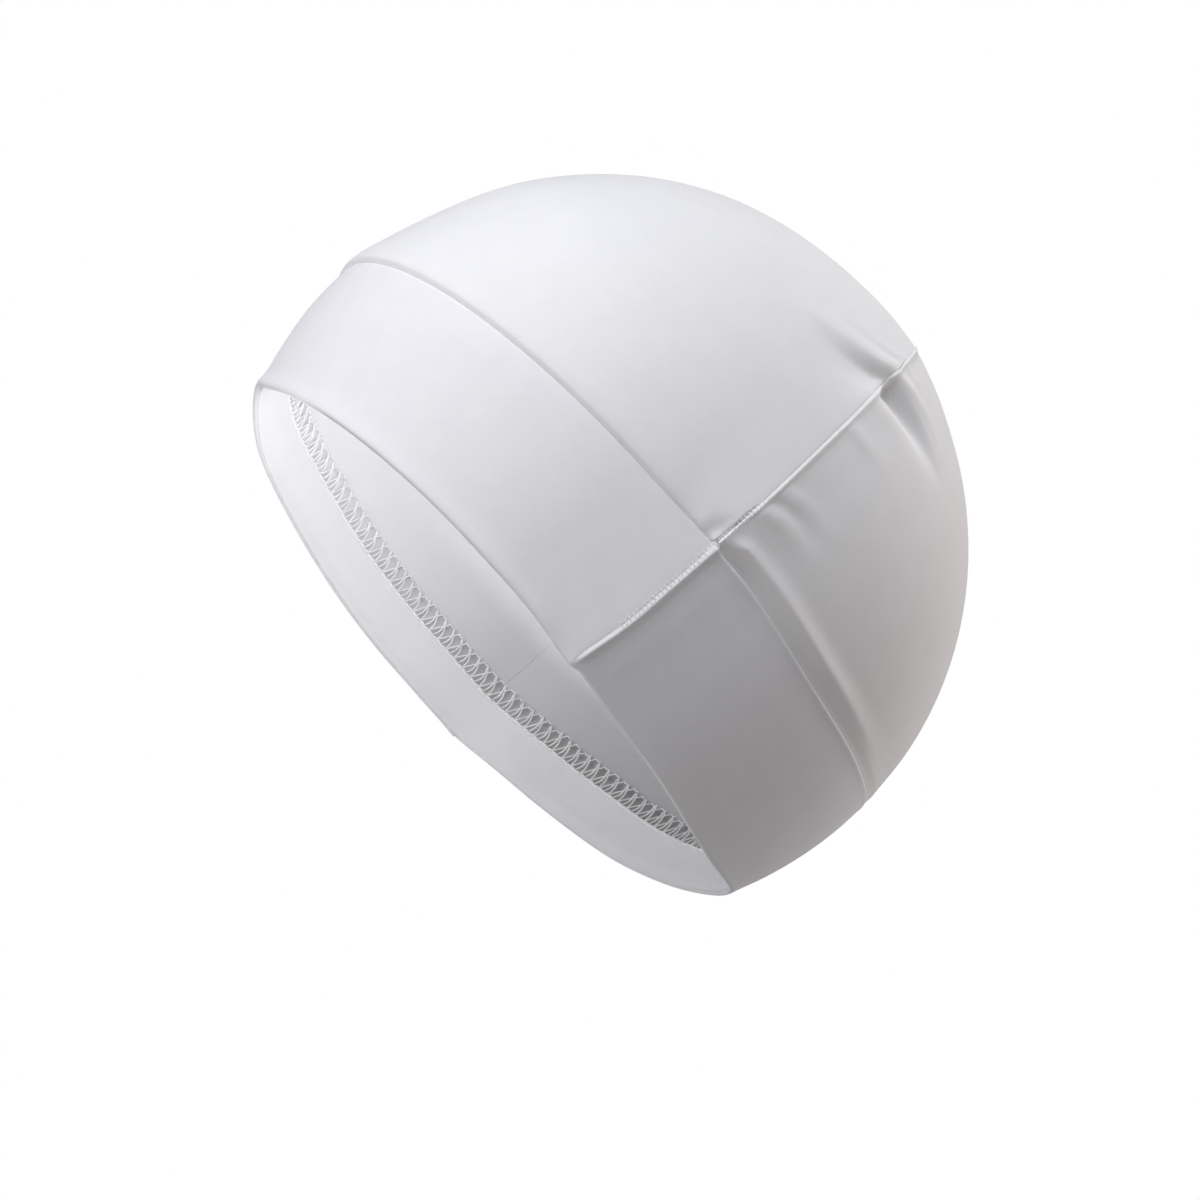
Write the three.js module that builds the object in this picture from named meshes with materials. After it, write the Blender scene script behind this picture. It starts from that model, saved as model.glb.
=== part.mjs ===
// Helmet liner: a close skull cap of thin stretch knit, in the form that it takes on a head.
// Two crown panels meet in a cross seam over the top, a doubled band runs round below them,
// and a separate facing lines the band's rim on the inside.
// X runs across the head, +X the wearer's left. Y runs from the forehead to the nape at +Y.
// Z is up, and the origin is the inside of the crown's top, which rests on the head.

import * as THREE from "three";

// Driving dimensions, in millimetres and degrees.
// The head's form is an ellipsoid, a little wider in front than behind.
const HEAD = { halfWidth: 80, halfLength: 97.7, rise: 99.3, frontFullness: 0.08 };
const CROSS_SEAM_Y = 15.0;
const PANEL_THICKNESS = 1.2;
const FACING_THICKNESS = 1.0;
const PIECE_GAP = 0.3;

// Heights above the head's widest ring, from the forehead (turn 0) round to the nape (turn 180).
const SECTIONS = [
  { turn: 0, rim: -43.2, bandSeam: -5.7, facing: 12.6 },
  { turn: 30, rim: -44.2, bandSeam: -5.6, facing: 12.9 },
  { turn: 60, rim: -45.5, bandSeam: -4.7, facing: 13.6 },
  { turn: 80, rim: -46.4, bandSeam: -3.9, facing: 14.8 },
  { turn: 100, rim: -46.3, bandSeam: -3.3, facing: 15.5 },
  { turn: 125, rim: -45.0, bandSeam: -2.8, facing: 16.3 },
  { turn: 150, rim: -42.8, bandSeam: 0.4, facing: 17.8 },
  { turn: 180, rim: -37.6, bandSeam: 4.4, facing: 18.5 },
];

// The band's two faces, measured out from the head's form, from its rim (up 0) to its seam (up 1).
// The rim is a rounded fold that stands out as a small lip, and the band is taut above it.
const BAND_PROFILE = [
  { up: 0, outside: -0.6, inside: -1.5 },
  { up: 0.02, outside: 0.0, inside: -2.1 },
  { up: 0.08, outside: -0.8, inside: -2.9 },
  { up: 0.35, outside: -1.5, inside: -3.5 },
  { up: 0.7, outside: -1.5, inside: -3.5 },
  { up: 1, outside: -1.0, inside: -3.0 },
];

// Gathers start on the cross seam. Place and drift are degrees up from the ear along the seam,
// at the seam and at the gather's far end. Heights under 0 are valleys.
const GATHERS = [
  { panel: "front", place: 51.6, drift: -8.2, length: 28, width: 4.6, height: -2.8 },
  { panel: "front", place: 56.2, drift: -6.5, length: 34, width: 2.6, height: 1.2 },
  { panel: "front", place: 59.0, drift: -5.5, length: 18, width: 2.2, height: -0.9 },
  { panel: "front", place: 61.4, drift: -5.0, length: 22, width: 2.8, height: 0.9 },
  { panel: "front", place: 45.7, drift: -5.0, length: 20, width: 3.0, height: 0.8 },
  { panel: "back", place: 52.9, drift: 3.0, length: 30, width: 4.8, height: -3.2 },
  { panel: "back", place: 57.7, drift: 2.3, length: 28, width: 2.8, height: 1.2 },
  { panel: "back", place: 46.2, drift: 7.8, length: 30, width: 3.0, height: 1.1 },
  { panel: "back", place: 37.6, drift: 3.0, length: 18, width: 3.0, height: 0.6 },
  { panel: "back", place: 11.6, drift: 9.5, length: 24, width: 2.8, height: 0.9 },
];

// The cloth is pulled flat beside the cross seam, so the seam stands out as a crease. The flat
// stretch is widest on the band and narrows up the crown, by degrees up from the ear.
const CREASE = [
  { climb: 0, flat: 24 },
  { climb: 15, flat: 20 },
  { climb: 30, flat: 14 },
  { climb: 45, flat: 10 },
  { climb: 90, flat: 8 },
];

// Low relief along the seams: the dip at the stitches, and the ridge where the back panel's
// turned-in edge ends.
const SEAM_DIP = { depth: 0.7, width: 2.4 };
const EDGE_RIDGE = { from: 6.6, width: 3.0, height: 0.7 };

// Facets. A panel's columns run ear to ear and close up at the gathers, its rows lie between seams.
const COLUMN_STEP = { coarse: 5, fine: 2 };
const GATHER_ZONE = { low: 40, high: 64 };
const PANEL_CORNER = 1.2;
const PANEL_ROWS = [0, 0.02, 0.05, 0.1, 0.17, 0.27, 0.4, 0.55, 0.7, 0.83, 0.92, 0.96, 1];
const BAND_COLUMNS = { front: 40, back: 32 };
const BAND_CROWDING = 0.4;
const FACING_COLUMNS = 60;
const FACING_ROWS = [0.02, 0.08, 0.35];

const COLOUR = { crown: 0xe4e4e6, band: 0xdedde1, facing: 0xe0dfe2 };
const KNIT_ROUGHNESS = 0.85;

const degrees = THREE.MathUtils.degToRad;
const smooth = THREE.MathUtils.smoothstep;

// Reads a section's rim, band seam and facing heights at any turn round the head.
const sectionCurve = new THREE.CubicInterpolant(
  SECTIONS.map((row) => row.turn),
  SECTIONS.flatMap((row) => [row.rim, row.bandSeam, row.facing]),
  3,
);
sectionCurve.settings = {
  endingStart: THREE.ZeroSlopeEnding,
  endingEnd: THREE.ZeroSlopeEnding,
};

function sectionAt(turn) {
  const [rim, bandSeam, facing] = sectionCurve.evaluate(Math.abs(turn));
  return { rim, bandSeam, facing };
}

// Reads a column of a table between its rows, by the column that the rows are sorted on.
function readTable(table, key, value, column) {
  const next = Math.max(1, table.findIndex((row) => row[key] >= value));
  const low = table[next - 1];
  const high = table[next];
  return THREE.MathUtils.mapLinear(value, low[key], high[key], low[column], high[column]);
}

// How far the crease lifts the cloth, which leaves it flat up to the end of the flat stretch.
function creaseHeight(fromSeam, climb) {
  const flat = readTable(CREASE, "climb", climb, "flat");
  const sideCurvature = HEAD.halfWidth / HEAD.halfLength ** 2;
  return (sideCurvature / 2) * Math.max(0, flat - fromSeam) ** 2;
}

// A point at a height outside the head's form, above a point of the plain ellipsoid.
function onHead(x, y, z, outside) {
  const { halfWidth, halfLength, rise, frontFullness } = HEAD;
  const widening = 1 - (frontFullness * y) / halfLength;
  const slope = x / (halfWidth * halfWidth) / widening;
  const normal = new THREE.Vector3(
    slope,
    y / (halfLength * halfLength) + (slope * frontFullness * x) / halfLength,
    z / (rise * rise),
  );
  normal.normalize();
  return new THREE.Vector3(x * widening, y, z).addScaledVector(normal, outside);
}

// The turn round the head of a point of the plain ellipsoid, 0 at the forehead.
function turnOf(x, y) {
  const across = Math.abs(x) / HEAD.halfWidth;
  return THREE.MathUtils.radToDeg(Math.atan2(across, -y / HEAD.halfLength));
}

// The girth of the plain ellipsoid at a height, as a share of its widest ring.
function girthAt(z) {
  return Math.sqrt(1 - (z / HEAD.rise) ** 2);
}

// The turn at which the ring at a height crosses a plane of constant y.
function turnAtPlane(y, z) {
  return THREE.MathUtils.radToDeg(Math.acos(-y / (HEAD.halfLength * girthAt(z))));
}

// How far the plain ellipsoid lies from a point inside it, along a direction.
function reach(from, direction) {
  const scale = new THREE.Vector3(HEAD.halfWidth, HEAD.halfLength, HEAD.rise);
  const start = from.clone().divide(scale);
  const step = direction.clone().divide(scale);
  const a = step.dot(step);
  const b = step.dot(start);
  const c = start.dot(start) - 1;
  return (-b + Math.sqrt(b * b - a * c)) / a;
}

// A closed wall between two matching grids of points, given as rows of columns.
// In a ring the last column joins the first, and otherwise both ends are closed.
function wallGeometry(outer, inner, ring) {
  const rows = outer.length;
  const columns = outer[0].length;
  const points = [...outer.flat(), ...inner.flat()];
  const innerStart = rows * columns;
  const indices = [];
  const quad = (a, b, c, d) => indices.push(a, b, c, a, c, d);
  const at = (row, column) => row * columns + (column % columns);

  const columnEnd = ring ? columns : columns - 1;
  for (let column = 0; column < columnEnd; column += 1) {
    for (let row = 0; row < rows - 1; row += 1) {
      const corners = [
        at(row, column),
        at(row, column + 1),
        at(row + 1, column + 1),
        at(row + 1, column),
      ];
      const [a, b, c, d] = corners;
      quad(a, b, c, d);
      quad(d + innerStart, c + innerStart, b + innerStart, a + innerStart);
    }
    const first = [at(0, column), at(0, column + 1)];
    const last = [at(rows - 1, column), at(rows - 1, column + 1)];
    quad(first[1], first[0], first[0] + innerStart, first[1] + innerStart);
    quad(last[0], last[1], last[1] + innerStart, last[0] + innerStart);
  }
  if (!ring) {
    for (let row = 0; row < rows - 1; row += 1) {
      const start = [at(row, 0), at(row + 1, 0)];
      const end = [at(row, columns - 1), at(row + 1, columns - 1)];
      quad(start[0], start[1], start[1] + innerStart, start[0] + innerStart);
      quad(end[1], end[0], end[0] + innerStart, end[1] + innerStart);
    }
  }

  const geometry = new THREE.BufferGeometry();
  geometry.setFromPoints(points);
  geometry.setIndex(indices);
  geometry.computeVertexNormals();
  return geometry;
}

// The height that the gathers of one panel add, at an angle up from the ear along the seam.
function gatherHeight(panel, angle, fromSeam, reachAcross) {
  const fromEar = Math.min(angle, 180 - angle);
  let height = 0;
  for (const gather of GATHERS) {
    if (gather.panel !== panel || fromSeam >= gather.length) continue;
    const along = fromSeam / gather.length;
    const aside = degrees(fromEar - gather.place - gather.drift * along) * reachAcross;
    const fade = (1 - along * along) ** 2;
    height += gather.height * fade * Math.exp(-((aside / gather.width) ** 2));
  }
  return height;
}

function columnAngles() {
  const half = [];
  let angle = PANEL_CORNER;
  while (angle < 90 - COLUMN_STEP.fine) {
    half.push(angle);
    const nearGather = angle >= GATHER_ZONE.low && angle < GATHER_ZONE.high;
    angle += nearGather ? COLUMN_STEP.fine : COLUMN_STEP.coarse;
  }
  const mirrored = half.map((value) => 180 - value).reverse();
  return [...half, 90, ...mirrored];
}

// One crown panel. Its columns fan out from the ears, where the cross seam meets the band seam.
// Each column's rows swing about the ear-to-ear line, from the cross seam down to the band seam.
function crownPanel(panel) {
  const side = panel === "front" ? -1 : 1;
  const seamY = CROSS_SEAM_Y + (side * PIECE_GAP) / 2;
  const footTurn = turnAtPlane(seamY, 0);
  const foot = new THREE.Vector3(0, seamY, sectionAt(footTurn).bandSeam + PIECE_GAP / 2);

  const pointAt = (angle, swing) => {
    const across = Math.cos(degrees(angle));
    const away = Math.sin(degrees(angle));
    const direction = new THREE.Vector3(
      across,
      side * away * Math.sin(degrees(swing)),
      away * Math.cos(degrees(swing)),
    );
    const distance = reach(foot, direction);
    return { place: foot.clone().addScaledVector(direction, distance), distance };
  };

  const heightOverEdge = (place) => {
    const edge = sectionAt(turnOf(place.x, place.y)).bandSeam + PIECE_GAP / 2;
    return place.z - edge;
  };

  const edgeSwing = (angle) => {
    let low = 30;
    let high = 150;
    while (high - low > 0.0001) {
      const middle = (low + high) / 2;
      if (heightOverEdge(pointAt(angle, middle).place) > 0) low = middle;
      else high = middle;
    }
    return low;
  };

  const outer = PANEL_ROWS.map(() => []);
  const inner = PANEL_ROWS.map(() => []);
  for (const angle of columnAngles()) {
    const swingEnd = edgeSwing(angle);
    PANEL_ROWS.forEach((share, row) => {
      const swing = share * swingEnd;
      const { place, distance } = pointAt(angle, swing);
      const fromSeam = degrees(swing) * distance * Math.sin(degrees(angle));
      const fromEdge = heightOverEdge(place);
      let height = creaseHeight(fromSeam, Math.min(angle, 180 - angle));
      height += gatherHeight(panel, angle, fromSeam, distance);
      height -= SEAM_DIP.depth * Math.exp(-((fromSeam / SEAM_DIP.width) ** 2));
      if (panel === "back") {
        const aside = (fromEdge - EDGE_RIDGE.from) / EDGE_RIDGE.width;
        const clearOfSeam = smooth(fromSeam, 0, EDGE_RIDGE.from);
        height += EDGE_RIDGE.height * clearOfSeam * Math.exp(-aside * aside);
      }
      outer[row].push(onHead(place.x, place.y, place.z, height));
      inner[row].push(onHead(place.x, place.y, place.z, height - PANEL_THICKNESS));
    });
  }
  const facesOut = panel === "front" ? [outer, inner] : [outer.reverse(), inner.reverse()];
  return wallGeometry(...facesOut, false);
}

// One half of the band, from the cross seam on one side, round the end, to the other side.
function bandHalf(panel) {
  const side = panel === "front" ? -1 : 1;
  const seamY = CROSS_SEAM_Y + (side * PIECE_GAP) / 2;
  const columns = BAND_COLUMNS[panel];
  const middleTurn = panel === "front" ? 0 : 180;
  const outer = BAND_PROFILE.map(() => []);
  const inner = BAND_PROFILE.map(() => []);

  for (let column = 0; column <= columns; column += 1) {
    // The columns stand a little closer together towards the cross seam.
    const even = (2 * column) / columns - 1;
    const share = THREE.MathUtils.lerp(even, Math.sin(degrees(90 * even)), BAND_CROWDING);
    BAND_PROFILE.forEach((profile, row) => {
      // The band's height depends on the turn, and the turn of its end on the height.
      let turn = middleTurn;
      let z = 0;
      for (let pass = 0; pass < 8; pass += 1) {
        const endTurn = turnAtPlane(seamY, z);
        turn = middleTurn + share * Math.abs(endTurn - middleTurn);
        const section = sectionAt(turn > 180 ? 360 - turn : turn);
        z = section.rim + profile.up * (section.bandSeam - PIECE_GAP / 2 - section.rim);
      }
      const x = HEAD.halfWidth * girthAt(z) * Math.sin(degrees(turn));
      const y = -HEAD.halfLength * girthAt(z) * Math.cos(degrees(turn));
      const crease = creaseHeight(Math.abs(y - seamY), 0);
      outer[row].push(onHead(x, y, z, profile.outside + crease));
      inner[row].push(onHead(x, y, z, profile.inside + crease));
    });
  }
  return wallGeometry(outer, inner, false);
}

// The facing is a closed ring inside the band, from the rim's fold up to its stitched edge.
// Its rows follow the bends of the band's inside face, so that it lies along that face.
function facingRing() {
  const outer = [[], ...FACING_ROWS.map(() => [])];
  const inner = [[], ...FACING_ROWS.map(() => [])];
  for (let column = 0; column < FACING_COLUMNS; column += 1) {
    const turn = (360 * column) / FACING_COLUMNS - 180;
    const section = sectionAt(turn);
    const bandHeight = section.bandSeam - section.rim;
    const rows = [...FACING_ROWS, section.facing / bandHeight];
    rows.forEach((up, row) => {
      const z = section.rim + up * bandHeight;
      const x = HEAD.halfWidth * girthAt(z) * Math.sin(degrees(turn));
      const y = -HEAD.halfLength * girthAt(z) * Math.cos(degrees(turn));
      const crease = creaseHeight(Math.abs(y - CROSS_SEAM_Y), 0);
      const bandInside = readTable(BAND_PROFILE, "up", up, "inside") + crease;
      const outside = bandInside - PIECE_GAP;
      outer[row].push(onHead(x, y, z, outside));
      inner[row].push(onHead(x, y, z, outside - FACING_THICKNESS));
    });
  }
  return wallGeometry(outer, inner, true);
}

function piece(name, geometry, color) {
  const material = new THREE.MeshStandardMaterial({
    color,
    roughness: KNIT_ROUGHNESS,
    metalness: 0,
  });
  const mesh = new THREE.Mesh(geometry, material);
  mesh.name = name;
  return mesh;
}

const liner = new THREE.Group();
liner.add(
  piece("front_crown_panel", crownPanel("front"), COLOUR.crown),
  piece("back_crown_panel", crownPanel("back"), COLOUR.crown),
  piece("front_band", bandHalf("front"), COLOUR.band),
  piece("back_band", bandHalf("back"), COLOUR.band),
  piece("inner_facing", facingRing(), COLOUR.facing),
);
// The pieces are laid out about the head's widest ring, and the origin is at the crown's top.
liner.position.z = PANEL_THICKNESS - HEAD.rise;

export default liner;
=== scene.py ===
import math

import bpy
import numpy as np
from mathutils import Matrix, Vector


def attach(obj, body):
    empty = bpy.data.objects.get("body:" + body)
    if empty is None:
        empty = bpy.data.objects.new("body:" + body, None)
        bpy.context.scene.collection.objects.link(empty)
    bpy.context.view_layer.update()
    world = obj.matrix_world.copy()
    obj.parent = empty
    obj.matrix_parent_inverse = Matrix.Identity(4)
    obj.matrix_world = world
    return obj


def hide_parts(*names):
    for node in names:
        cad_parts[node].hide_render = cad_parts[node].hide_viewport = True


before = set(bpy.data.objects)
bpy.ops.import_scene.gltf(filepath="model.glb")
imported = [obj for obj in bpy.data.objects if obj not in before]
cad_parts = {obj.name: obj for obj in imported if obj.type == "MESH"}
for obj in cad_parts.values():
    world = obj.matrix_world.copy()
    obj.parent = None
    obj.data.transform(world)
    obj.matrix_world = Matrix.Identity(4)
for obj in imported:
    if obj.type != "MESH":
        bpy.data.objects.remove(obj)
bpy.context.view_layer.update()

# Helmet liner of white stretch knit, in the form that it takes on a head.
# Sizes are in millimetres about the head's widest ring, turned to metres when a piece is made.
# X runs across the head, +X the wearer's left, Y from the forehead to the nape, Z up.
MM = 0.001

HALF_WIDTH = 80.0
HALF_LENGTH = 97.7
RISE = 99.3
FRONT_FULLNESS = 0.08
CROSS_SEAM_Y = 15.0
CAD_PANEL_THICKNESS = 1.2
# The frame's origin is the inside of the crown's top.
ORIGIN_HEIGHT = RISE - CAD_PANEL_THICKNESS

PANEL_THICKNESS = 1.0
SEAM_ALLOWANCE = 6.0
PIECE_GAP = 0.03


def table(columns, *rows):
    """A table as one array for each named column."""
    return dict(zip(columns.split(), np.array(rows, float).T))


# Heights of the rim and the band seam above the widest ring, and of the facing above the rim, by
# the turn from the forehead (0) round to the nape (180).
SECTIONS = table(
    "turn rim band_seam facing",
    (0, -43.2, -3.7, 12.6),
    (30, -44.2, -4.3, 12.9),
    (60, -45.5, -4.3, 13.6),
    (80, -46.4, -3.8, 14.2),
    (99, -46.3, -2.9, 14.1),
    (108, -46.0, -1.75, 14.3),
    (125, -45.0, -1.4, 14.8),
    (150, -42.8, 1.8, 13.8),
    (180, -37.6, 4.9, 15.0),
)

# How the worn rim strays from the sections, by the turn: over 0 beside the left ear.
RIM_STRAY = table(
    "turn rise",
    (-180, 0.2),
    (-165, 1.4),
    (-153, 1.7),
    (-140, 0.6),
    (-125, 0.2),
    (-100, 0),
    (-64, -0.5),
    (-46, 0.2),
    (-28, 0.6),
    (-12, 2.7),
    (-4, 2.7),
    (0, 2.0),
    (8, 0.3),
    (20, -0.6),
    (34, -0.9),
    (55, -0.6),
    (75, -0.1),
    (90, 0),
    (100, -0.2),
    (110, -1.1),
    (125, -1.1),
    (140, -1.3),
    (152, -0.8),
    (165, -0.2),
    (180, 0.2),
)

# How far the worn cloth stands out of the plain form along the middle of the head, by the arc from
# the forehead (0) over the top (90) to the nape (180).
MIDDLE_PROFILE = table(
    "arc out",
    (-40, 0.9),
    (-24, 1.0),
    (-18, 1.4),
    (-11, 1.75),
    (-5, 1.4),
    (0, 1.1),
    (4, 0.2),
    (8, -0.55),
    (30, -0.55),
    (60, -0.75),
    (86, -0.75),
    (93, -0.1),
    (100, 0.2),
    (107, 0.1),
    (114, -0.2),
    (122, 0),
    (168, 0),
    (174, -0.35),
    (179, 0),
    (185, 0),
    (193, -0.2),
    (201, -0.35),
    (220, -0.35),
)

# The flat stretch of cloth beside the cross seam, by degrees up from the ear.
CREASE = table("climb flat", (0, 24), (15, 20), (30, 14), (45, 10), (90, 8))

# Gathers that start on the cross seam. Place and drift are in degrees up from the ear. The gather
# drifts from its place within the bend's length. Heights under 0 are valleys, above and below are
# the half widths of their two sides, and held is the share of the height that the seam leaves.
# The last row in front is the dimple where the cross seam meets the band seam.
FRONT_GATHERS = table(
    "place drift bend length above below height held",
    (52.0, -7.0, 9, 24, 2.7, 9.0, -1.9, 0.8),
    (55.9, -7.0, 9, 38, 6.0, 2.4, 1.0, 0.7),
    (59.0, -7.0, 9, 26, 2.0, 2.0, -0.3, 0.3),
    (61.3, -7.0, 9, 30, 2.6, 2.2, 0.25, 0.3),
    (2.5, 0, 9, 10, 3.5, 3.5, -1.1, 0.8),
)
BACK_GATHERS = table(
    "place drift bend length above below height held",
    (51.9, 10.5, 50, 34, 2.2, 5.7, -4.3, 0.45),
    (54.9, 8.0, 20, 32, 3.2, 1.7, 0.8, 0.8),
    (60.2, 7.0, 40, 26, 2.2, 2.2, 0.35, 0.3),
    (45.4, 16.0, 40, 34, 2.6, 4.0, 0.35, 0.3),
    (36.0, 17.0, 60, 22, 3.0, 3.0, 0.45, 0.1),
    (15.8, 30.0, 60, 28, 2.8, 2.8, 0.4, 0),
    (13.0, 30.0, 60, 26, 1.8, 1.8, -0.3, 0),
    (10.1, 30.0, 60, 30, 2.6, 2.8, 0.6, 0),
)
SEAM_HOLD_REACH = 3.0

# Heights of two slow waves all over the worn cloth. Their lengths and phases are made up.
LONG_WAVE = 0.16
SHORT_WAVE = 0.10

# Cloth heights beside the cross seam, by the distance from it.
FRONT_OF_CROSS_SEAM = table("off height", (0, -0.06), (0.3, -0.03), (1.0, 0), (2.0, 0))
BACK_OF_CROSS_SEAM = table(
    "off height",
    (0, -0.03),
    (0.2, 0.12),
    (0.45, 0.31),
    (0.6, 0.36),
    (0.74, 0.33),
    (0.95, 0.12),
    (1.2, 0.02),
    (2.3, -0.04),
    (4.8, 0.03),
    (6.4, 0.0),
    (9.0, 0),
)
# The size of the rolled lip beside the cross seam. On the band it lies flat at the rim itself and
# is full a little above it.
CROWN_LIP = 1.25
BAND_LIP = 1.8
LIP_OFF_RIM = 5.0

# The crown's height off the head's form, by the distance from the band seam.
FRONT_CROWN_EDGE = table(
    "off height",
    (0, -1.15),
    (0.35, -0.85),
    (0.9, -0.3),
    (1.6, -0.02),
    (2.6, 0.06),
    (6.0, 0.08),
    (10.0, 0),
)
BACK_CROWN_EDGE = table(
    "off height",
    (0, -0.85),
    (0.3, -0.84),
    (0.9, -0.78),
    (2.0, -0.44),
    (3.4, 0.16),
    (4.5, 0.86),
    (5.1, 1.14),
    (5.6, 1.15),
    (6.6, 0.9),
    (7.8, 0.54),
    (9.0, 0.22),
    (10.4, 0.04),
    (13.0, 0),
)

# The band's outside face, by the distance up from the rim and down from the band seam.
FRONT_BAND_RIM = table(
    "off height",
    (0, -0.75),
    (0.12, -0.45),
    (0.35, -0.12),
    (0.9, 0.15),
    (1.8, 0.05),
    (3.0, -0.4),
    (4.8, -0.85),
    (9.0, -1.2),
    (20.0, -1.5),
)
BACK_BAND_RIM = table(
    "off height",
    (0, -1.3),
    (0.12, -1.02),
    (0.35, -0.72),
    (0.75, -0.55),
    (1.2, -0.6),
    (2.2, -0.85),
    (4.0, -1.1),
    (9.0, -1.25),
    (20.0, -1.5),
)
FRONT_BAND_TOP = table(
    "off height", (0, -1.25), (0.4, -1.18), (1.5, -1.2), (8.0, -1.3), (18.0, -1.5)
)
BACK_BAND_TOP = table(
    "off height",
    (0, -0.86),
    (0.3, -0.62),
    (0.65, -0.48),
    (1.1, -0.58),
    (1.8, -0.8),
    (4.0, -1.12),
    (9.0, -1.3),
    (18.0, -1.5),
)
# Between these shares of the band's height its outside passes from the rim's heights to the top's.
RIM_TO_TOP = (0.35, 0.65)
# The front band's own roll at the rim grows between these distances from the cross seam.
ROLL_GROWS = (1, 16)

# The band's inside face, by the distance up from the rim.
BAND_LINING = table(
    "off height", (0, -1.55), (0.5, -1.8), (1.5, -2.15), (3.0, -2.6), (6.0, -3.0), (10.0, -3.2)
)
FACING_THICKNESS = 1.0
FACING_THINNING = 3.0
FACING_THINNEST = 0.1
FACING_EDGE_ROUNDING = 0.4
FACING_OFF_RIM = 0.12
INNER_CREASE_ROUNDING = 5.0
# On the back band the far seam's ridge is rounder near the rim, fading out between these heights
# above it. The front band's ridge stays sharp.
FAR_CREASE_ROUNDING = 3.5
FAR_CREASE_HEIGHTS = (5.0, 35.0)

# The open strip above the facing's edge, which the ladder stitches bridge.
LADDER_HEIGHT = 7.0
LADDER_DEPTH = 0.9
# The gap's share of that depth at the forehead, where the cloth lies closer to the stitches, and
# the turns between which it deepens.
LADDER_LEAST = 0.15
LADDER_DEEPENS = (20, 90)
# Heights above the facing between which the gap opens, closes again, and the cloth's painted shade
# starts.
GAP_OPENS = (-0.5, 0.3)
GAP_CLOSES = (LADDER_HEIGHT - 1.2, LADDER_HEIGHT + 0.2)
CLOTH_SHADE_STARTS = (0, 0.3)
# How much of the gap's painted shade the cloth above the facing has, far from the forehead. It fades
# out within a short way below the band seam, to meet the crown's own tone. Both painted shades grow
# with the turn away from the forehead.
CLOTH_SHADE = 0.85
SHADE_FADE = 10.0
GAP_SHADE_GROWS = (40, 140)
CLOTH_SHADE_GROWS = (45, 135)

# Beside the ears the two crown panels gape at the foot of the cross seam, and the lip starts
# higher up.
GAPE_START = 3.0
GAPE_LENGTH = 17.0
GAPE_DEPTH = 2.0
FRONT_GAPE_WIDTH = 0.42
BACK_GAPE_WIDTH = 0.15
LIP_START = 7.0
# The back crown's crest above the band seam rises between these distances from the cross seam.
CREST_RISES = (1, 7.0)
# The panel's whole wall follows the crest beyond these distances from the cross seam and the band
# seam. Nearer to them only its outside does.
WALL_OFF_SEAM = (0, 1.5)
WALL_OFF_EDGE = (1, 4)

# Towards the rim beside the left ear the cross seam bends forward, and the rim hangs lower at its
# foot, over a longer stretch of the front band than of the back one.
SEAM_BEND = 1.8
SEAM_BEND_POWER = 1.5
SEAM_BEND_HEIGHT = 24.0
CORNER_DROP = 0.9
FRONT_CORNER = 26.0
BACK_CORNER = 5.0
# Behind the ears the back band stands out further, level with the crown at the nape, and the
# crown's crest above it fades out. Both by the turn.
NAPE_FILLING = 0.55
NAPE_TURNS = (125, 160)
CREST_FADES = (122, 158)


def follow(rows, column, value, key="off"):
    """Reads a table as one smooth curve through its rows, level at both ends."""
    knots = rows[key]
    heights = rows[column]
    slopes = np.gradient(heights, knots)
    slopes[0] = slopes[-1] = 0
    value = np.clip(value, knots[0], knots[-1])
    i = np.clip(np.searchsorted(knots, value, side="right") - 1, 0, len(knots) - 2)
    span = knots[i + 1] - knots[i]
    t = (value - knots[i]) / span
    return (
        heights[i] * (1 + 2 * t) * (1 - t) ** 2
        + slopes[i] * span * t * (1 - t) ** 2
        + heights[i + 1] * t * t * (3 - 2 * t)
        - slopes[i + 1] * span * t * t * (1 - t)
    )


def ease(value, start, end):
    """A smooth step from 0 at the start to 1 at the end."""
    t = np.clip((value - start) / (end - start), 0, 1)
    return t * t * (3 - 2 * t)


def mound(value, width):
    """A smooth mound of height 1 round 0."""
    return np.exp(-((value / width) ** 2))


# The head's form


def out_of_head(x, y, z):
    """The directions straight out of the head's form, above points of the plain ellipsoid."""
    slope = x / HALF_WIDTH**2 / (1 - FRONT_FULLNESS * y / HALF_LENGTH)
    along = y / HALF_LENGTH**2 + slope * FRONT_FULLNESS * x / HALF_LENGTH
    direction = np.stack([slope, along, z / RISE**2], -1)
    return direction / np.linalg.norm(direction, axis=-1, keepdims=True)


def on_head(x, y, z, outside):
    """Points at a height outside the head's form, above points of the plain ellipsoid."""
    on_form = np.stack([x * (1 - FRONT_FULLNESS * y / HALF_LENGTH), y, z], -1)
    return on_form + out_of_head(x, y, z) * np.asarray(outside)[..., None]


def turn_of(x, y):
    """The turn from the forehead, in degrees and alike on both sides."""
    return np.degrees(np.arctan2(np.abs(x) / HALF_WIDTH, -y / HALF_LENGTH))


def girth(z):
    """The head's girth at a height, as a share of its widest."""
    return np.sqrt(1 - (z / RISE) ** 2)


def around_head(turn, z):
    """Places on the plain ellipsoid, by the turn and the height."""
    x = HALF_WIDTH * girth(z) * np.sin(np.radians(turn))
    y = -HALF_LENGTH * girth(z) * np.cos(np.radians(turn))
    return x, y


def section(turn, column):
    """A column of the sections, alike on both sides."""
    turn = np.abs(turn)
    return follow(SECTIONS, column, np.where(turn > 180, 360 - turn, turn), "turn")


def rim_height(turn):
    """The worn rim, which differs from side to side."""
    around = (turn + 180) % 360 - 180
    return section(turn, "rim") + follow(RIM_STRAY, "rise", around, "turn")


def cross_seam_y(turn, off_rim):
    """The cross seam's place beside the bands."""
    bend = SEAM_BEND * (1 - ease(off_rim, 0, SEAM_BEND_HEIGHT)) ** SEAM_BEND_POWER
    return CROSS_SEAM_Y - bend * (np.sin(np.radians(turn)) > 0)


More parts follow.
